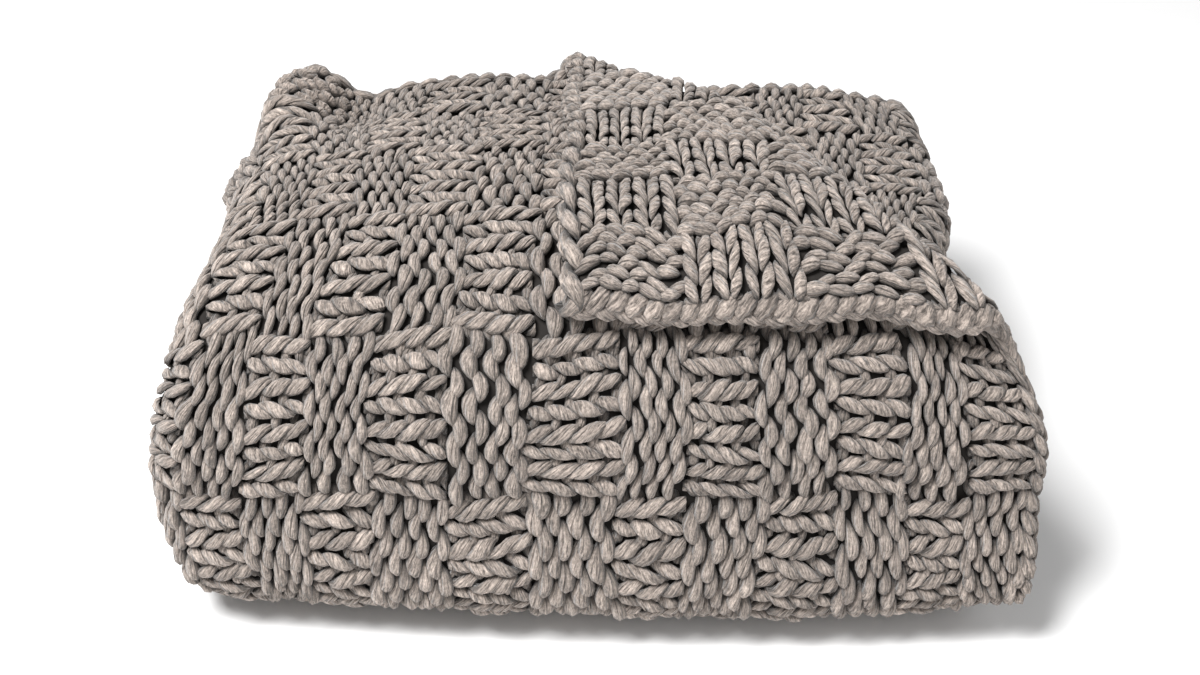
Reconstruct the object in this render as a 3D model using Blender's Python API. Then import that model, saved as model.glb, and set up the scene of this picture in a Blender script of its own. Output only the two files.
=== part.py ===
"""Chunky basket-weave knit throw, folded in thirds both ways, as one closed solid.

The sheet is followed along its own two directions:
  across      u, from the free right edge of the outer layer, over the left fold,
              through the inner layer and the right fold to the free edge of the middle layer
  lengthwise  v, from the back end of the top pass, round the front fold, along the floor,
              round the back fold and forward again inside the pile
Each face point is placed in the flat pack (x, v, depth), the back right corner of the
outer layer is turned over, the pack is folded front to back, and the pile then settles.
Metres, +Z up, origin on the floor at the middle of the pile.
"""
import bpy
import math
import numpy as np

# ---- driving dimensions -------------------------------------------------------------
CLOTH = 0.0205            # thickness of the knit
GAP = 0.0027              # air between two layers
PILE_WIDTH = 0.522        # X, over the left and right folds
PILE_DEPTH = 0.350        # Y, before the foot spreads
OUTER_EDGE_X = 0.2525     # free right edge of the outer layer
BACK_JUT = 0.015          # the back fold stands out past the top pass's free end
FOLD_INSET = 0.004        # the right fold stops this far inside the pile's width

# turned corner of the outer layer
TURN_START_X = -0.050     # where the turn line leaves the back edge
TURN_END_V = 0.350        # where it leaves the right edge, along the sheet
TURN_RADIUS = 0.0150      # of the cloth's middle, round the turn
TURN_RELAX = 0.050        # distance over which the corner sinks onto the layer below

# how the pile settles
TAPER = 0.120             # the back is narrower than the front
TUCK = 0.045              # the top is narrower than the foot
CROWN = 0.012             # rise of the top's middle
BACK_DROP = 0.022         # fall of the top towards the back
SIDE_DROP = 0.018         # fall of the top towards its sides
FOOT_PUSH = 0.058         # the front's foot spreads forward on the floor
FOOT_SKEW = 0.20          # more so at the right
FOOT_IN = 0.012           # the foot's left end is drawn in
FRONT_BOW = 0.012         # the front is bowed in plan
RIGHT_IN = 0.022          # the right side is drawn in behind the front
LEFT_OUT = 0.022          # the left side swells towards the back
LEFT_HIGH = 0.5           # share of that swell left at the top
EAR_LIFT = 0.028          # the back left corner stands up
EAR_OUT = 0.018
CREASE = 0.005            # dent beside that corner
SHOULDER_LIFT = 0.018     # the back right corner stays full
SHOULDER_IN = 0.006       # and is drawn in
# where those act: (start, end) of each change along Y, or up the pile as a share of height
FRONT_ZONE = (-0.155, -0.015)
BACK_ZONE = (0.0, 0.10)
DROP_ZONE = (-0.02, 0.175)
TAPER_ZONE = (-0.215, -0.02)
SHOULDER_ZONE_X = (0.0, 0.13)
SHOULDER_ZONE_Y = (0.0, 0.15)
HIGH_ZONE = (0.45, 1.0)
CROWN_Y, CROWN_SPREAD = -0.02, 0.10
WAIST_Y, WAIST_SPREAD = -0.06, 0.075
LOW_TAPER = 0.55          # share of the taper that the foot takes
# mounds on the top: (x, y, half width x, half width y)
EAR = (-0.214, 0.130, 0.032, 0.050)
CREASE_PLACE = (-0.174, 0.140, 0.018, 0.045)

# relief of the basket weave: blocks of 4 stitches by 8 rows, with grooves between them
BLOCK_WIDTHS_MM = (34.5, 34.5, 37, 43, 45.5, 52, 37, 43, 43, 40, 34.5, 32)
BLOCK_LEFT_X = -0.234     # left edge of the first block
BLOCK_ROW_V = (0.0, 0.068, 0.155, 0.235, 0.318, 0.413, 0.510)
GROOVE = 0.0040           # depth of the grooves between blocks
PUFF = 0.0010             # how far a block's middle stands proud
RELIEF_FADE = 0.030       # distance past the turn over which the relief grows
RELIEF_CLEAR = 0.020      # no relief this far round the turned corner
RELIEF_ROUND = 0.8        # share of the front fold that carries relief

# sections of the sheet: (name, mesh cells)
ACROSS = (("turned part", 24), ("outer layer", 10), ("left fold", 6),
          ("inner layer", 5), ("right fold", 4), ("middle layer", 5))
LENGTHWISE = (("turned part", 24), ("front fold", 9), ("floor pass", 4),
              ("back fold", 7), ("middle pass", 4))
# sideways drift and width of each pass of the pile
PASS_DRIFT = (("top", 0.000, 1.000), ("floor", -0.003, 0.995), ("middle", 0.004, 0.975))
INNER_REACH = 0.008       # how far the middle pass runs into the front fold
MIDDLE_REACH = 0.019      # and its middle layer beyond that
MIDDLE_STOP = 0.002       # the middle layer's free edge past the left fold's axis

CENTRE_SHIFT = (0.0098, 0.0029)       # brings the pile's middle to the origin
EDGE_THIN = 0.72          # share of the thickness left at a free edge
EDGE_ROUND = 0.0045       # how far the middle of a free edge stands out

# ---- worked out from those ----------------------------------------------------------
PITCH = CLOTH + GAP
HEIGHT = 9 * PITCH - GAP              # nine layers
LOW_HEIGHT = 6 * PITCH - GAP          # the floor pass and the middle pass
HALF_W = PILE_WIDTH / 2
HALF_D = PILE_DEPTH / 2
FRONT_Y = -HALF_D + HEIGHT / 2        # axis of the front fold
BACK_Y = HALF_D + BACK_JUT - LOW_HEIGHT / 2      # axis of the back fold
TOP_RUN = HALF_D - FRONT_Y
FRONT_ARC = math.pi * HEIGHT / 2
FLOOR_RUN = BACK_Y - FRONT_Y
BACK_ARC = math.pi * LOW_HEIGHT / 2
LEFT_FOLD_X = -HALF_W + PITCH + CLOTH / 2
RIGHT_FOLD_X = HALF_W - FOLD_INSET - PITCH / 2 - CLOTH / 2
DEPTH_OUTER = CLOTH / 2
DEPTH_MIDDLE = DEPTH_OUTER + PITCH
DEPTH_INNER = DEPTH_MIDDLE + PITCH
TURN_LEG = OUTER_EDGE_X - TURN_START_X
TURN_SPAN = math.sqrt(TURN_LEG * TURN_END_V)


def ease(start, end, value):
    """Smooth step from 0 at start to 1 at end."""
    t = np.clip((value - start) / (end - start), 0, 1)
    return t * t * (3 - 2 * t)


def stations(sections, spans):
    """Section number and share along it for each mesh line of a list of sections."""
    marks = [(0, 0.0)]
    for number, (name, cells) in enumerate(sections):
        marks += [(number, (k + 1) / cells) for k in range(cells)]
    return [(number, share * spans[number]) for number, share in marks]


def across_point(section, run):
    """x, depth and outward normal (x, depth) of the cloth's middle in the flat pack."""
    turned, outer, left, inner, right, middle = range(6)
    if section == turned:
        return OUTER_EDGE_X - run, DEPTH_OUTER, 0.0, -1.0
    if section == outer:
        return TURN_START_X - run, DEPTH_OUTER, 0.0, -1.0
    if section == left:
        angle = run / PITCH
        return (LEFT_FOLD_X - PITCH * math.sin(angle), DEPTH_MIDDLE - PITCH * math.cos(angle),
                -math.sin(angle), -math.cos(angle))
    if section == inner:
        return LEFT_FOLD_X + run, DEPTH_INNER, 0.0, 1.0
    if section == right:
        radius = PITCH / 2
        angle = run / radius
        return (RIGHT_FOLD_X + radius * math.sin(angle),
                DEPTH_INNER - radius * (1 - math.cos(angle)),
                math.sin(angle), math.cos(angle))
    return RIGHT_FOLD_X - run, DEPTH_MIDDLE, 0.0, -1.0


def across_spans():
    """Lengths of the sections across the sheet."""
    flat = RIGHT_FOLD_X - LEFT_FOLD_X
    return (TURN_LEG, TURN_START_X - LEFT_FOLD_X, math.pi * PITCH,
            flat, math.pi * PITCH / 2, flat + MIDDLE_STOP)


def lengthwise_spans():
    """Lengths of the sections along the outer line of the pile."""
    return (TURN_END_V, TOP_RUN + FRONT_ARC - TURN_END_V, FLOOR_RUN, BACK_ARC, FLOOR_RUN)


def lengthwise_run(section, run, depth):
    """Distance v of a mesh line, where the inner end of the middle pass depends on depth."""
    spans = lengthwise_spans()
    v = sum(spans[:section]) + run
    if section == 4:
        bulge = 1 - ((depth - DEPTH_MIDDLE) / PITCH) ** 2
        reach = INNER_REACH + MIDDLE_REACH * max(bulge, 0.0)
        v += reach * run / spans[4]
    return v


def turn_corner(x, v, lift):
    """Turn the back right corner of the outer layer over the line across it."""
    across = (x - TURN_START_X) / TURN_LEG
    along = v / TURN_END_V
    past = TURN_SPAN * (across - along) / math.sqrt(2)
    bend = math.pi * TURN_RADIUS
    if past <= 0 or v > TURN_END_V:
        return x, v, lift
    if past < bend:
        angle = past / TURN_RADIUS
        reach = (TURN_RADIUS - lift) * math.sin(angle)
        height = TURN_RADIUS - (TURN_RADIUS - lift) * math.cos(angle)
    else:
        reach = bend - past
        rest = math.exp(reach / TURN_RELAX)
        height = PITCH + (2 * TURN_RADIUS - PITCH) * rest - lift
    move = (reach - past) / (TURN_SPAN * math.sqrt(2))
    return x + move * TURN_LEG, v - move * TURN_END_V, height


def fold_lengthwise(v, depth):
    """y and z of a point of the pack, folded round the front and back folds."""
    if v < TOP_RUN:
        return HALF_D - v, HEIGHT - depth
    v -= TOP_RUN
    if v < FRONT_ARC:
        angle = v / (HEIGHT / 2)
        radius = HEIGHT / 2 - depth
        return FRONT_Y - radius * math.sin(angle), HEIGHT / 2 + radius * math.cos(angle)
    v -= FRONT_ARC
    if v < FLOOR_RUN:
        return FRONT_Y + v, depth
    v -= FLOOR_RUN
    if v < BACK_ARC:
        angle = v / (LOW_HEIGHT / 2)
        radius = LOW_HEIGHT / 2 - depth
        return BACK_Y + radius * math.sin(angle), LOW_HEIGHT / 2 - radius * math.cos(angle)
    return BACK_Y - (v - BACK_ARC), LOW_HEIGHT - depth


def pass_drift(v):
    """Sideways drift and width of the pile's passes, blended round the folds."""
    top, floor, middle = (row[1:] for row in PASS_DRIFT)
    front = ease(TOP_RUN, TOP_RUN + FRONT_ARC, v)
    start = TOP_RUN + FRONT_ARC + FLOOR_RUN
    back = ease(start, start + BACK_ARC, v)
    return [a + (b - a) * front + (c - b) * back for a, b, c in zip(top, floor, middle)]


def mound(x, y, place):
    """Soft mound in plan: 1 at its centre, falling off over its half widths."""
    centre_x, centre_y, wide, deep = place
    return math.exp(-((x - centre_x) / wide) ** 2 - ((y - centre_y) / deep) ** 2)


def settle(x, y, z):
    """Let the folded pile slump: narrower at the back and top, its foot spread, a crown."""
    level = min(max(z / HEIGHT, 0.0), 1.3)
    side = x / HALF_W
    left, right = max(-side, 0.0), max(side, 0.0)
    front = 1 - ease(*FRONT_ZONE, y)
    low = 1 - ease(0, HEIGHT / 2, z)
    high = ease(*HIGH_ZONE, level)
    ear = mound(x, y, EAR) * high
    crease = mound(x, y, CREASE_PLACE) * high
    shoulder = ease(*SHOULDER_ZONE_X, x) * ease(*SHOULDER_ZONE_Y, y) * high
    crown = CROWN * math.exp(-((y - CROWN_Y) / CROWN_SPREAD) ** 2)
    drop = BACK_DROP * ease(*DROP_ZONE, y) + SIDE_DROP * abs(side) ** 3
    narrow = TAPER * ease(*TAPER_ZONE, y) * (LOW_TAPER + (1 - LOW_TAPER) * level)
    waist = RIGHT_IN * right * math.exp(-((y - WAIST_Y) / WAIST_SPREAD) ** 2)
    swell = LEFT_OUT * left * ease(*BACK_ZONE, y) * (1 - (1 - LEFT_HIGH) * high)
    swell -= FOOT_IN * left * low * front
    new_x = x * (1 - narrow) * (1 - TUCK * level ** 2) - waist - swell
    new_x -= SHOULDER_IN * shoulder * right + EAR_OUT * ear
    new_y = y - FOOT_PUSH * (1 + FOOT_SKEW * side) * low * front + FRONT_BOW * front * side ** 2
    new_z = z * (1 + (crown - drop) / HEIGHT)
    new_z += EAR_LIFT * ear - CREASE * crease + SHOULDER_LIFT * shoulder
    return new_x, new_y, new_z


def groove_share(edges, value):
    """0 in the middle of a block, rising to 1 at its edges."""
    if not edges[0] < value < edges[-1]:
        return 1.0
    number = int(np.searchsorted(edges, value)) - 1
    share = (value - edges[number]) / (edges[number + 1] - edges[number])
    return abs(2 * share - 1) ** 3


def relief(x, v):
    """Height of the block relief at a place of the outer layer."""
    block_edges = BLOCK_LEFT_X + np.cumsum((0,) + BLOCK_WIDTHS_MM) / 1000
    deep = max(groove_share(block_edges, x), groove_share(BLOCK_ROW_V, v))
    return PUFF - (PUFF + GROOVE) * deep


def relief_at(section, face, x, v):
    """Relief of a face point: only where that face of the outer layer shows."""
    if section > 1 or v >= TOP_RUN + RELIEF_ROUND * FRONT_ARC:
        return 0.0
    past = TURN_SPAN * ((x - TURN_START_X) / TURN_LEG - v / TURN_END_V) / math.sqrt(2)
    bend = math.pi * TURN_RADIUS
    if face < 0:
        shown = float(ease(bend, bend + RELIEF_FADE, past)) if v < TURN_END_V else 0.0
        return relief(x, v) * shown
    covered = x > TURN_START_X - RELIEF_CLEAR and v < TURN_END_V + RELIEF_CLEAR
    return 0.0 if covered else relief(x, v)


def place(across_mark, length_mark, face, edge=1.0, out=(0.0, 0.0)):
    """World position of a face point: face is +1 outside, -1 inside, 0 on the middle."""
    section, run = across_mark
    x, depth, normal_x, normal_depth = across_point(section, run - out[0])
    v = lengthwise_run(*length_mark, depth) + out[1]
    lift = face * edge * CLOTH / 2
    if face:
        lift += face * relief_at(section, face, x, v)
    if section < 2:
        x, v, height = turn_corner(x, v, lift)
        depth -= height
    else:
        x += normal_x * lift
        depth += normal_depth * lift
    drift, width = pass_drift(v)
    y, z = fold_lengthwise(v, depth)
    x, y, z = settle(x * width + drift, y, z)
    return x + CENTRE_SHIFT[0], y + CENTRE_SHIFT[1], z


def edge_shares(count_u, count_v, i, j):
    """Thickness share and outward steps of a mesh point, for the rounded free edges."""
    out_u = -1 if i == 0 else (1 if i == count_u - 1 else 0)
    out_v = -1 if j == 0 else (1 if j == count_v - 1 else 0)
    edge = EDGE_THIN if out_u or out_v else 1.0
    step = EDGE_ROUND / (math.sqrt(2) if out_u and out_v else 1)
    return edge, (-out_u * step, out_v * step)


def sheet_mesh():
    """Vertices and triangles of the folded sheet, closed round its free edges."""
    us = stations(ACROSS, across_spans())
    vs = stations(LENGTHWISE, lengthwise_spans())
    count_u, count_v = len(us), len(vs)
    verts, faces, grid = [], [], {}
    for face in (1, -1):
        for i in range(count_u):
            for j in range(count_v):
                edge = edge_shares(count_u, count_v, i, j)[0]
                grid[face, i, j] = len(verts)
                verts.append(place(us[i], vs[j], face, edge))
    for i in range(count_u - 1):
        for j in range(count_v - 1):
            for face in (1, -1):
                a, b = grid[face, i, j], grid[face, i + 1, j]
                c, d = grid[face, i + 1, j + 1], grid[face, i, j + 1]
                corners = ((a, b, d), (b, c, d))          # split along the turn line
                faces += corners if face > 0 else [tri[::-1] for tri in corners]
    rim = ([(i, 0) for i in range(count_u - 1)] + [(count_u - 1, j) for j in range(count_v - 1)]
           + [(i, count_v - 1) for i in range(count_u - 1, 0, -1)]
           + [(0, j) for j in range(count_v - 1, 0, -1)])
    middle = []
    for i, j in rim:
        edge, out = edge_shares(count_u, count_v, i, j)
        middle.append(len(verts))
        verts.append(place(us[i], vs[j], 0, edge, out))
    for k, (i, j) in enumerate(rim):
        after = (k + 1) % len(rim)
        top_a, top_b = grid[1, i, j], grid[(1, *rim[after])]
        low_a, low_b = grid[-1, i, j], grid[(-1, *rim[after])]
        mid_a, mid_b = middle[k], middle[after]
        faces += [(top_b, top_a, mid_a), (top_b, mid_a, mid_b),
                  (mid_b, mid_a, low_a), (mid_b, low_a, low_b)]
    return verts, faces


def yarn_material():
    """Warm grey roving yarn."""
    material = bpy.data.materials.new("grey knit")
    material.use_nodes = True
    shader = material.node_tree.nodes["Principled BSDF"]
    shader.inputs["Base Color"].default_value = (0.36, 0.32, 0.29, 1)
    shader.inputs["Roughness"].default_value = 0.95
    return material


def main():
    for item in list(bpy.data.objects):
        bpy.data.objects.remove(item)
    verts, faces = sheet_mesh()
    mesh = bpy.data.meshes.new("blanket")
    mesh.from_pydata(verts, [], faces)
    mesh.materials.append(yarn_material())
    mesh.update()
    blanket = bpy.data.objects.new("blanket", mesh)
    bpy.context.collection.objects.link(blanket)
    print("triangles", len(faces), "width across", round(sum(across_spans()), 3))


main()
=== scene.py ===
from math import cos, pi, radians, sqrt

import bpy
import numpy as np
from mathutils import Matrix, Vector


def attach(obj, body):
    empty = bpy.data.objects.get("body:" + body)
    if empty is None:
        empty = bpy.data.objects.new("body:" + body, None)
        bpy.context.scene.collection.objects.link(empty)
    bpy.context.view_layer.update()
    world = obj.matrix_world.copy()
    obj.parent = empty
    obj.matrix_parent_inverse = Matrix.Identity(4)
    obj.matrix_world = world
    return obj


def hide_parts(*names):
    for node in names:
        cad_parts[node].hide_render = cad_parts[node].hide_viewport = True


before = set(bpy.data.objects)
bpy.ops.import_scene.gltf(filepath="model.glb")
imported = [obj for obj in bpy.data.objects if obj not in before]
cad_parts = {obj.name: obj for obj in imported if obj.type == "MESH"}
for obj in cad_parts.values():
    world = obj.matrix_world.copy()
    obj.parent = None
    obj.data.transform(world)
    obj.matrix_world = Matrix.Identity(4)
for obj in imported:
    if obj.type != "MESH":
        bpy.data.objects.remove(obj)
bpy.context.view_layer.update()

mm = 0.001
rng = np.random.default_rng(11)


def ease(start, end, value):
    t = np.clip((value - start) / (end - start), 0, 1)
    return t * t * (3 - 2 * t)


def deselectAll():
    if bpy.context.object and bpy.context.object.mode != "OBJECT":
        bpy.ops.object.mode_set(mode="OBJECT")
    bpy.ops.object.select_all(action="DESELECT")


def finishPiece(piece, material):
    piece.data.materials.clear()
    piece.data.materials.append(material)
    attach(piece, "root")


# the camera comes first
cameraView = {
    "place": (0.0098, -0.9021, 0.708),
    "tiltDown": 34.5,           # degrees below the horizon
    "lens": 52.5,
    "sensor": 36.0,
}


def makeCamera():
    camera = bpy.data.objects.new("camera", bpy.data.cameras.new("camera"))
    bpy.context.scene.collection.objects.link(camera)
    camera.location = cameraView["place"]
    camera.rotation_euler = (radians(90 - cameraView["tiltDown"]), 0, 0)
    camera.data.lens = cameraView["lens"]
    camera.data.sensor_width = cameraView["sensor"]
    bpy.context.scene.camera = camera


# how the sheet is folded, on the same fold as the CAD solid: u runs across the sheet from the
# free right edge of the outer layer, v along it from the back end
pile = {
    "layers": 9,
    "lowLayers": 6,             # inside the back fold, under the top pass
    "cloth": 0.0205,            # thickness of the knit
    "gap": 0.0027,              # air between two layers
    "width": 0.522,
    "depth": 0.350,
    "backJut": 0.015,           # back fold past the top pass's end
    "edgeX": 0.2525,            # free right edge of the outer layer
    "foldInset": 0.004,         # right fold inside the full width
    "centreShift": (0.0098, 0.0029),    # moves the whole pile over the origin
    "innerReach": 0.008,        # the last pass reaches this much further in
    "middleReach": 0.019,       # and its middle layer this much more
    "middleStop": 0.002,        # the middle layer ends this far past the left fold's centre
    "topPass": (0.000, 1.000),  # sideways drift and width of each pass
    "floorPass": (-0.003, 0.995),
    "middlePass": (0.004, 0.975),
}
turn = {                        # the turned back right corner
    "startX": -0.050,           # where it starts along the back end
    "endV": 0.350,              # and where it ends down the free edge
    "radius": 0.0150,
    "relax": 0.050,             # settles onto the top over this length
}
# how the pile slumps: a zone runs from where an effect starts to where it is full, and a place
# is x, y and the half widths of a soft mound
slump = {
    "taper": 0.120,             # narrower at the back, share of the width
    "taperZone": (-0.215, -0.02),
    "lowTaper": 0.55,           # and this share of it at the floor
    "tuck": 0.045,              # narrower at the top, share of the width
    "mostLevel": 1.3,           # share of the height that what lies on top counts as, at most
    "crown": 0.012,             # the top swells in the middle of its depth
    "crownY": -0.02,
    "crownSpread": 0.10,
    "backDrop": 0.022,          # and falls off at the back
    "dropZone": (-0.02, 0.175),
    "sideDrop": 0.018,          # and at the sides
    "frontZone": (-0.155, -0.015),
    "footPush": 0.058,          # the foot of the front fold spreads forwards
    "footSkew": 0.20,           # and more so on the right
    "footIn": 0.012,            # its left end is drawn in
    "frontBow": 0.012,          # the front's two ends lie further back
    "toeLift": 0.013,           # and its right foot curls up a little
    "toeZone": (0.12, 0.26),
    "rightIn": 0.022,           # a waist in the right side
    "waistY": -0.06,
    "waistSpread": 0.075,
    "leftOut": 0.022,           # the left side swells at the back
    "backZone": (0.0, 0.10),
    "leftHigh": 0.5,            # and this share of it at the top
    "sideOut": 0.008,           # and a little more where the left fold leans out
    "sidePlace": (-0.240, 0.100, 0.060, 0.036),
    "highZone": (0.45, 1.0),    # shares of the height: what follows is the top layers' alone
    "ear": (-0.210, 0.130, 0.020, 0.060),       # the raised back left corner
    "earLift": 0.030,
    "earOut": 0.013,
    "earFall": 0.024,           # it falls away to the left
    "earFallZone": (-0.200, -0.245),
    "creasePlace": (-0.180, 0.140, 0.024, 0.050),
    "crease": 0.016,
    "shoulderLift": 0.018,      # the back right part stays high
    "shoulderIn": 0.006,
    "shoulderZoneX": (0.0, 0.13),
    "shoulderZoneY": (0.0, 0.15),
}

pitch = pile["cloth"] + pile["gap"]
height = pile["layers"] * pitch - pile["gap"]
lowHeight = pile["lowLayers"] * pitch - pile["gap"]
halfW, halfD = pile["width"] / 2, pile["depth"] / 2
frontY = -halfD + height / 2
backY = halfD + pile["backJut"] - lowHeight / 2
topRun = halfD - frontY
frontArc = pi * height / 2
floorRun = backY - frontY
backArc = pi * lowHeight / 2
leftFoldX = -halfW + pitch + pile["cloth"] / 2
rightFoldX = halfW - pile["foldInset"] - pitch / 2 - pile["cloth"] / 2
outerDepth = pile["cloth"] / 2
middleDepth = outerDepth + pitch
innerDepth = middleDepth + pitch
turnLeg = pile["edgeX"] - turn["startX"]
turnSpan = sqrt(turnLeg * turn["endV"])
flatRun = rightFoldX - leftFoldX
outerEnd = pile["edgeX"] - leftFoldX                  # where the left fold starts, along u
leftEnd = outerEnd + pi * pitch
innerEnd = leftEnd + flatRun
rightEnd = innerEnd + pi * pitch / 2
sheetWidth = rightEnd + flatRun + pile["middleStop"]
sheetLength = topRun + frontArc + floorRun + backArc + floorRun


def acrossPoint(u):
    # x, depth and outward direction (x, depth) of the cloth's middle
    x = pile["edgeX"] - u
    depth = np.full_like(u, outerDepth)
    nx, nd = np.zeros_like(u), np.full_like(u, -1.0)
    left = (u > outerEnd) & (u <= leftEnd)
    angle = (u - outerEnd) / pitch
    x = np.where(left, leftFoldX - pitch * np.sin(angle), x)
    depth = np.where(left, middleDepth - pitch * np.cos(angle), depth)
    nx, nd = np.where(left, -np.sin(angle), nx), np.where(left, -np.cos(angle), nd)
    inner = (u > leftEnd) & (u <= innerEnd)
    x = np.where(inner, leftFoldX + u - leftEnd, x)
    depth, nd = np.where(inner, innerDepth, depth), np.where(inner, 1.0, nd)
    right = (u > innerEnd) & (u <= rightEnd)
    radius = pitch / 2
    angle = (u - innerEnd) / radius
    x = np.where(right, rightFoldX + radius * np.sin(angle), x)
    depth = np.where(right, innerDepth - radius * (1 - np.cos(angle)), depth)
    nx, nd = np.where(right, np.sin(angle), nx), np.where(right, np.cos(angle), nd)
    middle = u > rightEnd
    x = np.where(middle, rightFoldX - (u - rightEnd), x)
    depth = np.where(middle, middleDepth, depth)
    return x, depth, nx, nd


def pastTurn(u, v):
    # distance past the turn line, on the sheet, in the turn's own evened measure
    return turnSpan * ((turnLeg - u) / turnLeg - v / turn["endV"]) / sqrt(2)


def turnCorner(x, u, v, lift):
    # x, v and height over the cloth's middle once the corner is turned over
    past = pastTurn(u, v)
    bend = pi * turn["radius"]
    radius = turn["radius"]
    angle = np.clip(past, 0, bend) / radius
    after = past >= bend
    reach = np.where(after, bend - past, (radius - lift) * np.sin(angle))
    rest = np.exp(np.minimum(bend - past, 0) / turn["relax"])
    settled = pitch + (2 * radius - pitch) * rest - lift
    up = np.where(after, settled, radius - (radius - lift) * np.cos(angle))
    move = (reach - past) / (turnSpan * sqrt(2))
    turned = (past > 0) & (v <= turn["endV"]) & (u < outerEnd)
    return (np.where(turned, x + move * turnLeg, x), np.where(turned, v - move * turn["endV"], v),
            np.where(turned, up, lift))


def foldLengthwise(v, depth):
    # y and z along the top, round the front, along the floor, round the back and in again
    y, z = halfD - v, height - depth
    a = (v - topRun) / (height / 2)
    r = height / 2 - depth
    on = v >= topRun
    y, z = np.where(on, frontY - r * np.sin(a), y), np.where(on, height / 2 + r * np.cos(a), z)
    w = v - topRun - frontArc
    on = w >= 0
    y, z = np.where(on, frontY + w, y), np.where(on, depth, z)
    w = w - floorRun
    a = w / (lowHeight / 2)
    r = lowHeight / 2 - depth
    on = w >= 0
    y, z = np.where(on, backY + r * np.sin(a), y), np.where(on, lowHeight / 2 - r * np.cos(a), z)
    w = w - backArc
    on = w >= 0
    return np.where(on, backY - w, y), np.where(on, lowHeight - depth, z)


def passDrift(v):
    # sideways drift and width, eased from pass to pass round the folds
    front = ease(topRun, topRun + frontArc, v)
    start = topRun + frontArc + floorRun
    back = ease(start, start + backArc, v)
    top, floor, middle = pile["topPass"], pile["floorPass"], pile["middlePass"]
    return [a + (b - a) * front + (c - b) * back for a, b, c in zip(top, floor, middle)]


def bell(value, centre, spread):
    return np.exp(-((value - centre) / spread) ** 2)


def mound(x, y, place):
    return np.exp(-((x - place[0]) / place[2]) ** 2 - ((y - place[1]) / place[3]) ** 2)


def settle(x, y, z):
    # the folded pile slumps: narrower at the back and top, foot spread, soft crown
    s = slump
    level = np.clip(z / height, 0, s["mostLevel"])
    side = x / halfW
    leftSide, rightSide = np.maximum(-side, 0), np.maximum(side, 0)
    front = 1 - ease(*s["frontZone"], y)
    low = 1 - ease(0, height / 2, z)
    high = ease(*s["highZone"], level)
    ear = mound(x, y, s["ear"]) * high
    earRow = bell(y, s["ear"][1], s["ear"][3])
    crease = mound(x, y, s["creasePlace"]) * high
    shoulder = ease(*s["shoulderZoneX"], x) * ease(*s["shoulderZoneY"], y) * high
    crown = s["crown"] * bell(y, s["crownY"], s["crownSpread"])
    drop = s["backDrop"] * ease(*s["dropZone"], y) + s["sideDrop"] * np.abs(side) ** 3
    narrow = s["taper"] * ease(*s["taperZone"], y) * (s["lowTaper"] + (1 - s["lowTaper"]) * level)
    waist = s["rightIn"] * rightSide * bell(y, s["waistY"], s["waistSpread"])
    swell = s["leftOut"] * leftSide * ease(*s["backZone"], y) * (1 - (1 - s["leftHigh"]) * high)
    swell = swell - s["footIn"] * leftSide * low * front
    newX = x * (1 - narrow) * (1 - s["tuck"] * level ** 2) - waist - swell
    newX = newX - s["shoulderIn"] * shoulder * rightSide - s["earOut"] * ear
    newX = newX - s["sideOut"] * mound(x, y, s["sidePlace"])
    newY = y - s["footPush"] * (1 + s["footSkew"] * side) * low * front
    newY = newY + s["frontBow"] * front * side ** 2
    newZ = z * (1 + (crown - drop) / height)
    newZ = newZ + s["earLift"] * ear - s["crease"] * crease + s["shoulderLift"] * shoulder
    newZ = newZ - s["earFall"] * ease(*s["earFallZone"], x) * earRow * high
    newZ = newZ + s["toeLift"] * ease(*s["toeZone"], x) * front * low
    return newX, newY, newZ


# the knit is never quite straight: slow waves over the sheet, each with its radians per metre
# along u and along v and its start
waver = {
    "size": 0.0017,
    "across": ((31, 44, 0.0), (-58, 61, 1.0)),
    "along": ((47, -23, 2.0), (66, 39, 0.5)),
}
# stitches on the floor are pressed flat: what would lie below soft is squeezed in above clear
floorRest = {"clear": 0.0002, "soft": 0.0022}
# round the raised corner the slump squeezes the sheet, so there the yarn stands straight out of it
earPlump = {
    "place": (-0.222, 0.130, 0.050, 0.075),     # x, y, half widths
    "strength": 1.6,
    "most": 0.8,                # share of the straight-out place
    "step": 0.2 * mm,           # for the sheet's own slope
}


def slumpedPoint(u, v, lift):
    x, depth, nx, nd = acrossPoint(u)
    onOuter = u <= outerEnd
    turnedX, turnedV, up = turnCorner(x, u, v, lift)
    x = np.where(onOuter, turnedX, x + nx * lift)
    v = np.where(onOuter, turnedV, v)
    depth = np.where(onOuter, depth - up, depth + nd * lift)
    drift, width = passDrift(v)
    y, z = foldLengthwise(v, depth)
    return np.stack(settle(x * width + drift, y, z), -1)


def clothPoint(u, v, lift):
    # world place of a point of the sheet, lift above its middle on the outer side
    u, v, lift = (np.asarray(a, float) for a in np.broadcast_arrays(u, v, lift))
    across = sum(np.sin(a * u + b * v + c) for a, b, c in waver["across"])
    along = sum(np.sin(a * u + b * v + c) for a, b, c in waver["along"])
    u, v = u + waver["size"] * across, v + waver["size"] * along
    place = slumpedPoint(u, v, lift)
    middle = slumpedPoint(u, v, 0.0)
    slopeU = slumpedPoint(u + earPlump["step"], v, 0.0) - middle
    slopeV = slumpedPoint(u, v + earPlump["step"], 0.0) - middle
    outward = np.cross(slopeU, slopeV)
    outward = outward / np.maximum(np.linalg.norm(outward, axis=-1, keepdims=True), 1e-12)
    share = earPlump["strength"] * mound(middle[..., 0], middle[..., 1], earPlump["place"])
    share = np.minimum(share, earPlump["most"])[..., None]
    place = place + share * (middle + lift[..., None] * outward - place)
    x, y, z = place[..., 0], place[..., 1], place[..., 2]
    clear, soft = floorRest["clear"], floorRest["soft"]
    z = np.where(z < soft, clear + (soft - clear) * np.exp((z - soft) / soft), z)
    return np.stack([x + pile["centreShift"][0], y + pile["centreShift"][1], z], -1)


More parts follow.
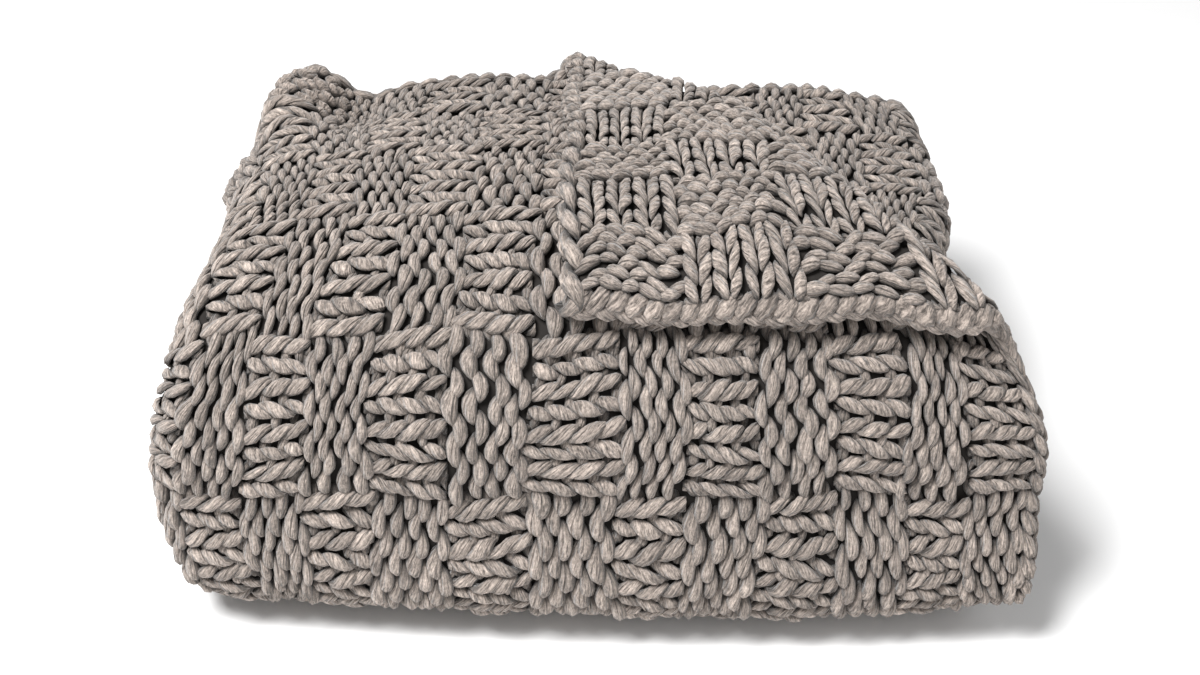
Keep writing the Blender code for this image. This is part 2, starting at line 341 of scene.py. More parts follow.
# the thin cloth under the stitches
baseCloth = {
    "thickness": 0.0060,
    "drawnIn": 0.006,           # from the edge strands' outside
    "cellsAcross": (34, 20, 14, 24, 10, 22),    # turned corner, outer, left fold, inner, right fold, middle
    "cellsAlong": (34, 28, 14, 18, 14),         # corner, front fold, floor, back fold, inside
}


def stationsOf(ends, cells):
    marks = [0.0]
    for start, end, count in zip([0.0] + list(ends[:-1]), ends, cells):
        marks += [start + (end - start) * (k + 1) / count for k in range(count)]
    return np.array(marks)


def makeBaseCloth():
    frontEnd = topRun + frontArc
    floorEnd = frontEnd + floorRun
    uMarks = stationsOf([turnLeg, outerEnd, leftEnd, innerEnd, rightEnd, sheetWidth],
                        baseCloth["cellsAcross"])
    vMarks = stationsOf([turn["endV"], frontEnd, floorEnd, floorEnd + backArc, sheetLength],
                        baseCloth["cellsAlong"])
    uMarks[0] = vMarks[0] = baseCloth["drawnIn"]
    deselectAll()
    # a grid from -1 to 1, whose points are then put on their stations
    bpy.ops.mesh.primitive_grid_add(x_subdivisions=len(uMarks) - 1, y_subdivisions=len(vMarks) - 1,
                                    size=2)
    cloth = bpy.context.object
    cloth.name = "baseCloth"
    flat = np.array([v.co[:] for v in cloth.data.vertices])
    u = uMarks[np.rint((flat[:, 0] + 1) / 2 * (len(uMarks) - 1)).astype(int)]
    v = vMarks[np.rint((flat[:, 1] + 1) / 2 * (len(vMarks) - 1)).astype(int)]
    depth = acrossPoint(u)[1]
    bulge = np.maximum(1 - ((depth - middleDepth) / pitch) ** 2, 0)
    lastPass = np.clip((v - (sheetLength - floorRun)) / floorRun, 0, 1)
    v = v + (pile["innerReach"] + pile["middleReach"] * bulge) * lastPass
    middle = clothPoint(u, v, 0.0)
    cloth.data.vertices.foreach_set("co", middle.ravel())
    wall = cloth.modifiers.new("thickness", "SOLIDIFY")
    wall.thickness = baseCloth["thickness"]
    wall.offset = 0
    bpy.ops.object.modifier_apply(modifier=wall.name)
    # both faces go where the fold puts them, so that the wall thins where the stitches do
    walled = np.array([p.co[:] for p in cloth.data.vertices])
    outside = clothPoint(u, v, baseCloth["thickness"] / 2)
    inside = clothPoint(u, v, -baseCloth["thickness"] / 2)
    firstIsOutside = np.sum((walled[:len(u)] - middle) * (outside - middle)) > 0
    faces = (outside, inside) if firstIsOutside else (inside, outside)
    cloth.data.vertices.foreach_set("co", np.concatenate(faces).ravel())
    bpy.ops.object.mode_set(mode="EDIT")
    bpy.ops.mesh.select_all(action="SELECT")
    bpy.ops.mesh.normals_make_consistent(inside=False)
    bpy.ops.object.mode_set(mode="OBJECT")
    bpy.ops.object.shade_smooth()
    print("base cloth", len(cloth.data.polygons), "faces")
    return cloth


# one strand of yarn, modelled once: a ball along Y, 2 long and 2 wide, its rings resized
strand = {
    "sides": 8,
    "leafRings": (0.66, 0.91, 1.0, 1.0, 1.0, 0.91, 0.66),         # drawn in at both ends
    "turnRings": (1.60, 1.18, 1.02, 1.0, 1.02, 1.18, 1.60),       # blunt
    "sameRing": 0.02,           # how close along Y the points of a ring lie
    "twist": 0.5,               # radians that the plies wind along half of it
}


def makeStrand(ringSizes):
    rings = len(ringSizes) + 1
    deselectAll()
    bpy.ops.mesh.primitive_uv_sphere_add(segments=strand["sides"], ring_count=rings, radius=1,
                                         rotation=(pi / 2, 0, 0))
    ball = bpy.context.object
    bpy.ops.object.transform_apply(location=False, rotation=True, scale=False)
    for k, size in enumerate(ringSizes):
        level = cos(pi * (k + 1) / rings)
        bpy.ops.object.mode_set(mode="EDIT")
        bpy.ops.mesh.select_mode(type="VERT")
        bpy.ops.mesh.select_all(action="DESELECT")
        bpy.ops.object.mode_set(mode="OBJECT")
        for vertex in ball.data.vertices:
            vertex.select = abs(vertex.co.y - level) < strand["sameRing"]
        bpy.ops.object.mode_set(mode="EDIT")
        bpy.ops.transform.resize(value=(size, 1, size), center_override=(0, 0, 0))
    bpy.ops.object.mode_set(mode="OBJECT")
    points = np.array([v.co[:] for v in ball.data.vertices])
    faces = [tuple(p.vertices) for p in ball.data.polygons]
    bpy.data.objects.remove(ball)
    return points, faces


# how much one stitch differs from the next
uneven = {
    "place": 0.0006,
    "size": 0.06,
    "spin": 3.2,                # degrees
    "height": 0.0004,
    "sag": 0.0005,              # of a whole rope
    "knobs": 0.07,              # yarn is a little thicker here and thinner there
    "knobPace": 3.5,            # radians along half a strand
}
# painted shade: heights over the cloth's middle between which the yarn is painted darker, and
# shares of painted shade for a strand's own sides and tips, which tuck in under the next
paintedShade = {
    "lit": 0.0082,
    "dark": 0.0028,
    "flankShade": 0.92,
    "flankStart": 0.85,         # facing outwards less than this
    "tipShade": 0.55,
    "tipStart": 0.66,           # share of the half length
    "tipRun": 0.34,
    "edgeDrop": 0.0004,         # edge strands count as this much lower, for more painted shade
}

# leaves: the smooth side of the knit, in columns, leaning out left and right by turns
leaf = {
    "row": 0.0119,              # height of a row
    "fewest": 3,                # rows in a block
    "wide": 0.76,               # share of the column's width
    "long": 1.80,               # share of a row's height
    "thick": 0.0080,
    "out": 0.14,                # side offset, share of the column's width
    "bow": 0.13,                # its middle stands out this much more
    "bowBack": 1.6,             # and its ends come back by this share of it
    "brick": 0.0,               # every second column is this much further on, share of a row
    "loft": 0.0064,             # height of its middle over the cloth's middle
    "side": 0.0018,             # a block's outer columns stand up
    "tuck": 0.0010,             # and its first and last rows go in
    "dive": 0.0024,             # how far its ends go in
    "diveCurve": 2.2,
    "over": 0.0011,             # its lower end lies over the next one's upper end
    "lean": 0,                  # degrees, to either side by turns
    "tilt": 2.2,                # degrees, a whole block's, at random
    "tips": 0,                  # more leaves at both ends of a column, tucked under the ropes there
    "tipLoft": 0.0032,
}
# turns: the reverse side, ropes across the block, each of slanting turns round the rope
rope = {
    "row": 0.0119,              # from rope to rope
    "turnStep": 0.0122,         # along the rope
    "fewest": 3,                # ropes in a block, and turns in a rope
    "radius": 0.0060,           # to the outside of the yarn, along the sheet
    "high": 0.0042,             # and outward
    "thick": 0.0058,
    "spread": 125,              # degrees either way round the rope
    "advance": 0.0074,          # along the rope, either way
    "fill": 1.10,
    "lift": 0.0058,             # height of the rope's middle
    "puff": 0.0016,             # more in the middle of a block
    "proud": 0.0012,            # and at its first and last rope
    "share": 0.52,              # no more than this of the rows' height
    "sink": 0.0028,             # ends go in under the leaves beside
    "past": 0.0012,             # and reach this far past the block
    "taper": 0.0080,            # and draw in over this length
    "endGirth": 0.25,           # down to this share
    "thin": 0.93,               # every second rope
    "ends": 1,                  # part turns that fill a rope's ends
    "links": 0,                 # strands seen between two ropes
}
link = {                        # between the ropes
    "wide": 0.0066,
    "long": 0.0120,
    "thick": 0.0050,
    "loft": 0.0038,
    "dive": 0.0010,
    "shift": 0.2,               # along the rope, share of a turn
}
frontLeaf = dict(leaf, tips=1)
frontRope = dict(rope, links=1)
hiddenRope = dict(rope, ends=0)
# bunched knit: small and round
pearl = dict(leaf, row=0.0080, long=1.26, wide=0.94, thick=0.0084, out=0.10, bow=0.05,
             dive=0.0030, lean=8)


def addLeafBlock(kept, u0, u1, v0, v1, form=leaf, columns=4):
    rows = max(form["fewest"], int(round((v1 - v0) / form["row"])))
    wide, high = (u1 - u0) / columns, (v1 - v0) / rows
    tilt = radians(rng.normal(0, form["tilt"]))
    for c in range(columns):
        for r in range(-form["tips"], rows + form["tips"]):
            side = -1 if r % 2 == 0 else 1
            v = v0 + (r + 0.5 + form["brick"] * (c % 2 - 0.5)) * high
            u = u0 + (c + 0.5 + side * form["out"]) * wide + tilt * (v - (v0 + v1) / 2)
            across, down = (c + 0.5) / columns * 2 - 1, (r + 0.5) / rows * 2 - 1
            loft = form["loft"] + form["side"] * across ** 2 - form["tuck"] * abs(down) ** 3
            if r < 0 or r >= rows:
                loft = form["tipLoft"]
            kept["leaves"].append((u, v, tilt + side * radians(form["lean"]), form["long"] * high,
                                   form["wide"] * wide, form["thick"], loft, form["dive"],
                                   side * form["bow"] * wide))


def addRopeBlock(kept, u0, u1, v0, v1, form=rope):
    turns = max(form["fewest"], int(round((u1 - u0) / form["turnStep"])))
    ropes = max(form["fewest"], int(round((v1 - v0) / form["row"])))
    step, high = (u1 - u0) / turns, (v1 - v0) / ropes
    for r in range(ropes):
        slant = 1 if r % 2 == 0 else -1
        down = (r + 0.5) / ropes * 2 - 1
        radius = min(form["radius"], form["share"] * high) * (1 if slant > 0 else form["thin"])
        lift = form["lift"] + (form["proud"] if r in (0, ropes - 1) else 0.0)
        sag = rng.normal(0, uneven["sag"])
        for c in range(-form["ends"], turns + form["ends"]):
            across = np.clip((c + 0.5) / turns * 2 - 1, -1, 1)
            puff = form["puff"] * (1 - across ** 2) * (1 - down ** 2) - form["sink"] * abs(across) ** 3
            v = v0 + (r + 0.5) * high + sag * (1 - across ** 2)
            kept["turns"].append((u0 + (c + 0.5) * step, v, slant, radius, step, lift + puff,
                                  u0, u1, form["advance"]))
            if form["links"] and 0 <= c < turns and r < ropes - 1:
                u = u0 + (c + link["shift"] + 0.5 * (r % 2)) * step
                kept["leaves"].append((u, v0 + (r + 1) * high, 0.0, link["long"], link["wide"],
                                       link["thick"], link["loft"] + puff, link["dive"], 0.0))


def strandAxes(points):
    # along the strand, across it and out of the cloth, as rows
    return points[:, 1][None, :], points[:, 0][None, :], points[:, 2][None, :]


def columnsOf(rows):
    return (a[:, None] for a in np.array(rows, float).T)


def thickThin(t, count):
    start = rng.uniform(0, 2 * pi, (count, 1))
    return 1 + uneven["knobs"] * np.sin(uneven["knobPace"] * t + start)


def leafPlaces(rows, face):
    t, px, pz = strandAxes(leafStrand[0])
    u, v, lean, long, wide, thick, loft, dive, bow = columnsOf(rows)
    count = len(rows)
    size = 1 + rng.normal(0, uneven["size"], (count, 1))
    girth = size * thickThin(t, count)
    lean = lean + np.radians(rng.normal(0, uneven["spin"], (count, 1)))
    across = px * wide * girth / 2 + bow * (1 - t ** 2 * leaf["bowBack"])
    along = t * long * size / 2
    up = loft + rng.normal(0, uneven["height"], (count, 1)) + pz * thick * girth / 2
    up = up - dive * np.abs(t) ** leaf["diveCurve"] + leaf["over"] * t
    u = u + rng.normal(0, uneven["place"], (count, 1))
    u = u + face * (across * np.cos(lean) + along * np.sin(lean))
    v = v + rng.normal(0, uneven["place"], (count, 1)) - across * np.sin(lean) + along * np.cos(lean)
    return clothPoint(u, v, face * up), up


def turnPlaces(rows, face):
    t, px, pz = strandAxes(turnStrand[0])
    u, v, slant, radius, step, lift, first, last, advance = columnsOf(rows)
    count = len(rows)
    size = 1 + rng.normal(0, uneven["size"], (count, 1))
    angle = t * radians(rope["spread"])
    out = radius * size * thickThin(t, count) - rope["thick"] / 2 * (1 - pz)
    advance = advance * (1 + rng.normal(0, 2 * uneven["size"], (count, 1)))
    u = u + rng.normal(0, uneven["place"], (count, 1)) + face * slant * advance * t
    u = u + face * px * step * rope["fill"] / 2
    # what would go past the block stops there and draws in, so that the rope has a rounded end
    stopped = np.clip(u, first - rope["past"], last + rope["past"])
    out = out * np.clip(1 - np.abs(u - stopped) / rope["taper"], rope["endGirth"], 1)
    up = lift + out * np.cos(angle) * rope["high"] / rope["radius"]
    return clothPoint(stopped, v + out * np.sin(angle), face * up), up


def addAttribute(mesh, name, kind, values):
    attribute = mesh.attributes.new(name, kind, "POINT")
    field = "vector" if kind == "FLOAT_VECTOR" else "value"
    attribute.data.foreach_set(field, values.astype(np.float32).ravel())


def joinCopies(name, places, copied, up):
    # all the copies of one strand as one mesh
    points, faces = copied
    count, each = places.shape[:2]
    corners = [len(f) for f in faces]
    loopIndex = np.concatenate([np.array(f) for f in faces])
    loops = (loopIndex[None, :] + (np.arange(count) * each)[:, None]).ravel()
    totals = np.tile(np.array(corners), count)
    mesh = bpy.data.meshes.new(name)
    mesh.vertices.add(count * each)
    mesh.vertices.foreach_set("co", places.astype(np.float32).ravel())
    mesh.loops.add(len(loops))
    mesh.loops.foreach_set("vertex_index", loops.astype(np.int32))
    mesh.polygons.add(len(totals))
    mesh.polygons.foreach_set("loop_start", (np.cumsum(totals) - totals).astype(np.int32))
    mesh.update(calc_edges=True)
    mesh.shade_smooth()
    # round and along the strand, turned by a random start: what the yarn's pattern reads
    t = points[:, 1]
    radius = np.maximum(np.hypot(points[:, 0], points[:, 2]), 1e-6)       # the tips lie on the axis
    angle = np.arctan2(points[:, 2] / radius, points[:, 0] / radius)[None, :]
    angle = angle + strand["twist"] * t[None, :] + rng.uniform(0, 2 * pi, (count, 1))
    fibre = np.stack([np.cos(angle), np.sin(angle), np.broadcast_to(t, angle.shape)], -1)
    addAttribute(mesh, "fibre", "FLOAT_VECTOR", fibre)
    addAttribute(mesh, "tone", "FLOAT", np.repeat(rng.uniform(0, 1, count), each))
    # painted shade: 0 at the top of the stitches, 1 at the cloth under them, and more on a strand's sides
    # and tips
    shadeAmount = np.clip((paintedShade["lit"] - up) / (paintedShade["lit"] - paintedShade["dark"]), 0, 1)
    shadeAmount = shadeAmount + np.zeros((count, 1))
    # more painted shade on a strand's sides, which face away from the outside, and on its tucked-in tips
    flankShade = np.clip(paintedShade["flankStart"] - points[:, 2] / radius, 0, 1) * paintedShade["flankShade"]
    tipShade = np.clip((np.abs(t) - paintedShade["tipStart"]) / paintedShade["tipRun"], 0, 1) * paintedShade["tipShade"]
    addAttribute(mesh, "shadeAmount", "FLOAT", 1 - (1 - shadeAmount) * (1 - flankShade) * (1 - tipShade))
    piece = bpy.data.objects.new(name, mesh)
    bpy.context.scene.collection.objects.link(piece)
    triangles = sum(c - 2 for c in corners) * count
    print(name, count, "strands", triangles, "triangles")
    return piece


def knitPieces(name, kept, face, shown=None):
    # the leaves and the turns of one part of the sheet, as two meshes
    pieces = []
    for kind, copied, place in (("leaves", leafStrand, leafPlaces), ("turns", turnStrand, turnPlaces)):
        rows = [row for row in kept[kind] if shown is None or shown(row[0], row[1])]
        if rows:
            places, up = place(rows, face)
            pieces.append(joinCopies(name + kind.capitalize(), places, copied, up))
    return pieces


def newKnit():
    return {"leaves": [], "turns": []}


# the checkerboard's lines on the sheet
blocks = {
    "leftX": -0.234,
    "widths": (34.5, 34.5, 37, 43, 45.5, 52, 37, 43, 43, 40, 34.5, 35),      # mm, left to right
    "rows": (0.006, 0.068, 0.155, 0.235, 0.318, 0.413, 0.510, 0.603, 0.696, 0.789, 0.882, 0.975,
             1.068, 1.161),
    "parts": (("top", 0, 4), ("front", 4, 6), ("underside", 6, 9), ("back", 9, 13)),    # rows of each
    "closeRows": (3, 6),        # rows whose leaves have tips under the ropes
    "linkedRows": 6,            # ropes have links down to here
    "pearlBlocks": 2,           # bunched, in the back left corner
    "pearlColumns": 5,
    "underTurn": (0.034, 0.068),        # left out this far inside the turned corner, along u and v
    "buriedRow": 11,            # and from this row on, but for this much at both sides
    "buriedFrom": 0.09,
    "cornerRows": (0.008, 0.080, 0.166, 0.248, 0.330),     # the turned corner is pulled longer
    "cornerLines": (0.0055, 0.0335, 0.063, 0.0915, 0.133, 0.207, 0.255, 0.300, 0.340),
    "cornerColumns": 6,
    "cornerLimit": -0.016,      # its knit starts this far before the turn line
    "secondStep": 0.038,        # blocks of the second layer, under the turned corner
    "secondCount": (7, 4),
    "secondStart": 0.010,       # from the back end
    "secondLimit": -0.030,      # its knit starts this far before the turn line
    "sideStep": 0.037,          # blocks round the left fold
    "lastEdge": 1.199,          # where the last row of blocks ends there
    "rightColumns": 2,
}
blockX = blocks["leftX"] + np.cumsum((0,) + blocks["widths"]) * mm
outerU = pile["edgeX"] - blockX                   # falls from left to right


def makeOuterKnit():
    pieces = []
    rows = blocks["rows"]

    def shown(u, v):
        underTurn = (u < turnLeg - blocks["underTurn"][0]) and (v < turn["endV"] - blocks["underTurn"][1])
        inside = blocks["buriedFrom"] < u < outerEnd - blocks["buriedFrom"]
        return not (underTurn or (v > rows[blocks["buriedRow"]] and inside))

    for name, first, last in blocks["parts"]:
        kept = newKnit()
        for i in range(len(outerU) - 1):
            for j in range(first, last):
                place = (outerU[i + 1], outerU[i], rows[j], rows[j + 1])
                if i < blocks["pearlBlocks"] and j == 0:
                    addLeafBlock(kept, *place, pearl, columns=blocks["pearlColumns"])
                elif (i + j) % 2 == 0:
                    addLeafBlock(kept, *place, frontLeaf if j in range(*blocks["closeRows"]) else leaf)
                else:
                    addRopeBlock(kept, *place, frontRope if j < blocks["linkedRows"] else hiddenRope)
        pieces += knitPieces(name, kept, 1, shown)
    return pieces


def makeLeftKnit():
    kept = newKnit()
    rows = blocks["rows"]
    first, step = float(outerU[0]), blocks["sideStep"]
    for i, (u0, u1) in enumerate(((first, first + step), (first + step, first + 2 * step))):
        for j in range(len(rows) - 1):
            if (i + j) % 2 == 1:
                addLeafBlock(kept, u0, u1, rows[j], rows[j + 1])
            else:
                form = frontRope if j < blocks["linkedRows"] else rope
                addRopeBlock(kept, u0, u1, rows[j], rows[j + 1], form)
    return knitPieces("left", kept, 1)


# on the turned corner the leaves slant two ways like chevrons, and the ropes lie close
cornerLeaf = dict(leaf, row=0.0156, lean=8, wide=1.14, long=1.38, thick=0.0076, out=0.05, bow=0.05,
                  brick=0.5, dive=0.0026, tilt=1.2)
cornerRope = dict(rope, row=0.0103, turnStep=0.0084, advance=0.0050, share=0.57)


def makeCornerKnit():
    kept = newKnit()
    rows, lines = blocks["cornerRows"], blocks["cornerLines"]
    for i in range(len(lines) - 1):
        for j in range(len(rows) - 1):
            place = (lines[i], lines[i + 1], rows[j], rows[j + 1])
            if (i + j) % 2 == 0:
                addLeafBlock(kept, *place, cornerLeaf, columns=blocks["cornerColumns"])
            else:
                addRopeBlock(kept, *place, cornerRope)

    def shown(u, v):
        return pastTurn(u, v) > blocks["cornerLimit"] and v < turn["endV"]

    return knitPieces("corner", kept, -1, shown)


def makeSecondKnit():
    kept = newKnit()
    rows = blocks["rows"]
    step = blocks["secondStep"]
    for i in range(blocks["secondCount"][0]):
        for j in range(blocks["secondCount"][1]):
            add = addLeafBlock if (i + j) % 2 == 0 else addRopeBlock
            add(kept, rightEnd + i * step, rightEnd + (i + 1) * step, rows[j], rows[j + 1])

    def shown(u, v):
        x = rightFoldX - (u - rightEnd)
        past = turnSpan * ((x - turn["startX"]) / turnLeg - v / turn["endV"]) / sqrt(2)
        return v > blocks["secondStart"] and past > blocks["secondLimit"]

    return knitPieces("second", kept, 1, shown)


def makeRightKnit():
    kept = newKnit()
    rows = blocks["rows"]
    middle = (innerEnd + rightEnd) / 2
    for i, (u0, u1) in enumerate(((innerEnd, middle), (middle, rightEnd))):
        for j in range(len(rows) - 1):
            if (i + j) % 2 == 0:
                addLeafBlock(kept, u0, u1, rows[j], rows[j + 1], columns=blocks["rightColumns"])
            else:
                addRopeBlock(kept, u0, u1, rows[j], rows[j + 1], hiddenRope)
    return knitPieces("right", kept, 1)


def makeLastKnit():
    # on the left fold again, where the last pass ends inside the front fold
    kept = newKnit()
    first, step = float(outerU[0]), blocks["sideStep"]
    start, end = blocks["rows"][-1], blocks["lastEdge"]
    addLeafBlock(kept, first, first + step, start, end)
    addRopeBlock(kept, first + step, first + 2 * step, start, end)
    return knitPieces("last", kept, 1)


# edges: strands in rows round the rim, each row with its degrees round the edge and its lean; on
# the turned corner the sheet is drawn together along its length, so there they are made longer
hemPlait = {
    "run": (0.004, turn["endV"]),
    "step": 0.0132,
    "long": 0.0180,
    "wide": 0.0080,
    "thick": 0.0078,
    "stretch": 1.7,
    "rim": 0.0050,              # from the edge's middle to the yarn's middle
    "inset": 0.0048,
    "low": 0.0012,              # it hangs this much below the sheet's middle
    "rows": ((34, -46), (98, 26), (160, -25)),
    "dive": 0.0020,
}
sidePlait = {
    "run": (turn["endV"], 1.10),
    "step": 0.0142,
    "long": 0.0215,
    "wide": 0.0080,
    "thick": 0.0078,
    "stretch": 1.0,
    "rim": 0.0062,
    "inset": 0.0064,
    "low": 0.0016,
    "rows": ((20, -18), (90, 14), (160, -18)),
    "dive": 0.0028,
}
cornerCord = {
    "run": (0.008, turnLeg),
    "step": 0.0150,
    "long": 0.0215,
    "wide": 0.0076,
    "thick": 0.0084,
    "stretch": 1.4,
    "rim": 0.0050,
    "inset": 0.0032,
    "low": -0.0012,
    "rows": ((22, 24), (90, 24), (158, 24)),
    "dive": 0.0022,
}
# the same cord goes on along the back ends of the layers, from a little before the corner's ends
endCord = dict(cornerCord, run=(turnLeg - 0.0075, 1.34), stretch=1.0, rim=0.0056, inset=0.0056,
               low=0.0014)


def makeEdge(name, form, lengthwise):
    t, px, pz = strandAxes(leafStrand[0])
    first, last = form["run"]
    rows = []
    for k in range(int((last - first) / form["step"])):
        for row, (angle, lean) in enumerate(form["rows"]):
            rows.append((first + (k + 0.5 * (row % 2)) * form["step"], angle, lean))
    run, start, lean = columnsOf(rows)
    count = len(rows)
    lean = np.radians(lean + rng.normal(0, uneven["spin"], (count, 1)))
    girth = thickThin(t, count)
    along, across = t * form["long"] / 2, px * form["wide"] * girth / 2 * (1 if lengthwise else -1)
    angle = np.radians(start) + (along * np.sin(lean) + across * np.cos(lean)) / form["rim"]
    out = form["rim"] + pz * form["thick"] * girth / 2 - form["dive"] * t ** 2
    further = along * np.cos(lean) - across * np.sin(lean)
    inward, lift = form["inset"] - out * np.sin(angle), form["low"] - out * np.cos(angle)
    if lengthwise:
        places = clothPoint(inward, run + form["stretch"] * further, lift)
    else:
        places = clothPoint(run + further, form["stretch"] * inward, lift)
    # painted shade on the edge strands, by how far out from the rim's middle each point lies
    return joinCopies(name, places, leafStrand, out - paintedShade["edgeDrop"])


yarnLook = {
    "colour": (0.271, 0.228, 0.199),
    "rough": 0.92,
    "sheen": 0.30,
    "specular": 0.2,
    "streaks": {"Scale": 1.0, "Detail": 4.0, "Roughness": 0.65},
    "streakStretch": (6.0, 6.0, 2.2),   # round and along the strand
    "streakSeed": 57.0,         # so that no two strands have the same streaks
    "streakSpots": (0.36, 0.64),        # where they are darkest and lightest
    "fibres": (0.33, 2.04),     # shares of the colour in dark and light fibres
    "toneRange": (0.78, 1.17),  # from strand to strand
    "specks": {"Scale": 620.0, "Detail": 3.0, "Roughness": 0.7},
    "speckSpots": (0.35, 0.65),
    "speckRange": (0.74, 1.24),         # shares of the colour
    "plies": 3,
    "grooveSpots": (0.02, 0.40),        # from a groove's bottom to its rim
    "groove": 0.86,             # share of the colour left by the painted shade in the line between two plies
    "grooveRelief": 0.8,        # its depth beside the streaks'
    "relief": 0.0016,
    "deepShade": 0.11,          # share of the colour left by the painted shade at the cloth under the stitches
}
# the cloth under the stitches is painted in shade: a small share of the yarn's colour
baseShadeLook = {
    "rough": 1.0,
    "noise": {"Scale": 160.0, "Detail": 3.0},
    "fibres": (0.03, 0.10),     # painted shade: the yarn's colour made this dark, as it lies in the dark between the stitches
}


def addNode(material, kind, sockets, **settings):
    # a new node: each of its sockets gets a plain value or another node's output
    item = material.node_tree.nodes.new("ShaderNode" + kind)
    for name, setting in settings.items():
        setattr(item, name, setting)
    for name, value in sockets.items():
        if isinstance(value, bpy.types.NodeSocket):
            material.node_tree.links.new(value, item.inputs[name])
        else:
            item.inputs[name].default_value = value
    return item


def mathNode(material, operation, *values):
    return addNode(material, "Math", dict(enumerate(values)), operation=operation).outputs[0]


def rangeNode(material, value, spots, ends, **settings):
    sockets = {"Value": value, "From Min": spots[0], "From Max": spots[1], "To Min": ends[0],
               "To Max": ends[1]}
    return addNode(material, "MapRange", sockets, **settings).outputs["Result"]


def scaledNode(material, colour, factor):
    return addNode(material, "VectorMath", {0: colour, "Scale": factor}, operation="SCALE").outputs[0]


def fibreRamp(material, value, spots, fibres):
    # from dark to light fibres of the yarn's colour
    ramp = addNode(material, "ValToRGB", {"Fac": value})
    for element, spot, share in zip(ramp.color_ramp.elements, spots, fibres):
        element.position = spot
        element.color = [part * share for part in yarnLook["colour"]] + [1]
    return ramp.outputs["Color"]


def newMaterial(name, rough):
    material = bpy.data.materials.new(name)
    material.use_nodes = True
    shader = material.node_tree.nodes["Principled BSDF"]
    shader.inputs["Roughness"].default_value = rough
    return material, shader


def yarnMaterial():
    look = yarnLook
    material, shader = newMaterial("greyYarn", look["rough"])
    links = material.node_tree.links
    shader.inputs["Sheen Weight"].default_value = look["sheen"]
    shader.inputs["Specular IOR Level"].default_value = look["specular"]
    fibre = addNode(material, "Attribute", {}, attribute_name="fibre").outputs["Vector"]
    tone = addNode(material, "Attribute", {}, attribute_name="tone").outputs["Fac"]
    # how much painted shade each point gets
    shadeAmount = addNode(material, "Attribute", {}, attribute_name="shadeAmount").outputs["Fac"]
    # fibres: long thin streaks, stretched along the strand
    stretched = addNode(material, "VectorMath", {0: fibre, 1: look["streakStretch"]}, operation="MULTIPLY")
    seed = mathNode(material, "MULTIPLY", tone, look["streakSeed"])
    streaks = addNode(material, "TexNoise", dict(look["streaks"], Vector=stretched.outputs[0], W=seed),
                      noise_dimensions="4D").outputs["Fac"]
    colour = fibreRamp(material, streaks, look["streakSpots"], look["fibres"])
    # a tone for each strand, and fluff: fine light and dark specks
    shade = rangeNode(material, tone, (0, 1), look["toneRange"])
    place = addNode(material, "TexCoord", {}).outputs["Object"]
    specks = addNode(material, "TexNoise", dict(look["specks"], Vector=place)).outputs["Fac"]
    fluff = rangeNode(material, specks, look["speckSpots"], look["speckRange"])
    toned = scaledNode(material, colour, mathNode(material, "MULTIPLY", shade, fluff))
    # plies: thin grooves that wind slowly along the strand, with painted shade in them and a dent in the
    # bump
    parts = addNode(material, "SeparateXYZ", {0: fibre})
    turned = mathNode(material, "ARCTAN2", parts.outputs["Y"], parts.outputs["X"])
    wave = mathNode(material, "SINE", mathNode(material, "MULTIPLY", turned, look["plies"] / 2))
    groove = rangeNode(material, mathNode(material, "ABSOLUTE", wave), look["grooveSpots"], (0, 1),
                       interpolation_type="SMOOTHSTEP")
    # painted shade in the grooves between the plies
    plyShade = rangeNode(material, groove, (0, 1), (look["groove"], 1))
    # painted shade: darker the deeper it lies, and on the strands' sides and tips
    shadeFactor = rangeNode(material, shadeAmount, (0, 1), (1, look["deepShade"]))
    shaded = scaledNode(material, toned, mathNode(material, "MULTIPLY", shadeFactor, plyShade))
    links.new(shaded, shader.inputs["Base Color"])
    relief = mathNode(material, "MULTIPLY_ADD", groove, look["grooveRelief"], streaks)
    bump = addNode(material, "Bump", {"Strength": 1.0, "Distance": look["relief"], "Height": relief})
    links.new(bump.outputs["Normal"], shader.inputs["Normal"])
    return material


def baseShadeMaterial():
    # painted shade: the cloth seen between the stitches gets a tenth or less of the yarn's colour
    material, shader = newMaterial("paintedShadeYarn", baseShadeLook["rough"])
    place = addNode(material, "TexCoord", {}).outputs["Object"]
    noise = addNode(material, "TexNoise", dict(baseShadeLook["noise"], Vector=place)).outputs["Fac"]
    colour = fibreRamp(material, noise, (0, 1), baseShadeLook["fibres"])
    material.node_tree.links.new(colour, shader.inputs["Base Color"])
    return material


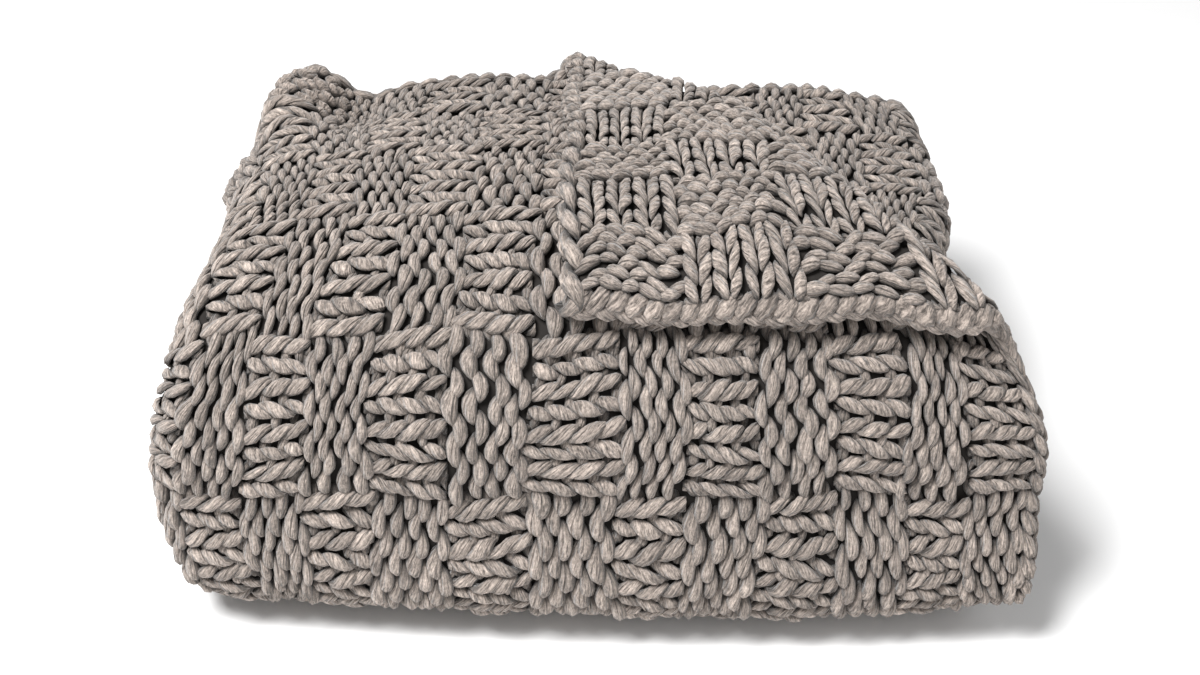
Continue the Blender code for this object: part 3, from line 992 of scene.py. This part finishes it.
# floor and light
studio = {
    "world": 0.345,
    "floor": (0.95, 0.95, 0.95),
    "floorRough": 0.9,
    "floorSize": 12,
    "floorZ": -0.0005,
    "aim": (0, 0, 0.12),
    "key": {"place": (-0.75, -0.7, 1.9), "size": 0.8, "power": 71},
    "fill": {"place": (1.3, -1.2, 1.0), "size": 1.6, "power": 8},
}


def aimAt(item, target):
    item.rotation_euler = (Vector(target) - item.location).to_track_quat("-Z", "Y").to_euler()


def makeStudio():
    deselectAll()
    bpy.ops.mesh.primitive_plane_add(size=studio["floorSize"], location=(0, 0, studio["floorZ"]))
    floor = bpy.context.object
    floor.name = "floor"
    bpy.ops.object.transform_apply(location=True, rotation=False, scale=False)
    paint, shader = newMaterial("floorPaint", studio["floorRough"])
    shader.inputs["Base Color"].default_value = (*studio["floor"], 1)
    floor.data.materials.append(paint)
    world = bpy.data.worlds.new("studio")
    world.use_nodes = True
    background = world.node_tree.nodes["Background"]
    background.inputs["Color"].default_value = (1, 1, 1, 1)
    background.inputs["Strength"].default_value = studio["world"]
    bpy.context.scene.world = world
    for name in ("key", "fill"):
        data = bpy.data.lights.new(name, "AREA")
        data.energy = studio[name]["power"]
        data.size = studio[name]["size"]
        lamp = bpy.data.objects.new(name, data)
        bpy.context.scene.collection.objects.link(lamp)
        lamp.location = studio[name]["place"]
        aimAt(lamp, studio["aim"])
    bpy.context.scene.view_settings.view_transform = "Standard"


makeCamera()
print("camera placed")
greyYarn, paintedShadeYarn = yarnMaterial(), baseShadeMaterial()
print("yarn coloured")
cloth = makeBaseCloth()
leafStrand, turnStrand = makeStrand(strand["leafRings"]), makeStrand(strand["turnRings"])
print("strands modelled")
knit = makeOuterKnit() + makeLeftKnit() + makeCornerKnit() + makeSecondKnit() + makeRightKnit()
knit += [makeEdge("hemPlait", hemPlait, True), makeEdge("sidePlait", sidePlait, True)]
knit += [makeEdge("cornerCord", cornerCord, False), makeEdge("endCord", endCord, False)]
knit += makeLastKnit()
finishPiece(cloth, paintedShadeYarn)
for piece in knit:
    finishPiece(piece, greyYarn)
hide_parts("blanket")
print("blanket dressed,", len(knit) + 1, "pieces")
makeStudio()
print("floor and lights made")
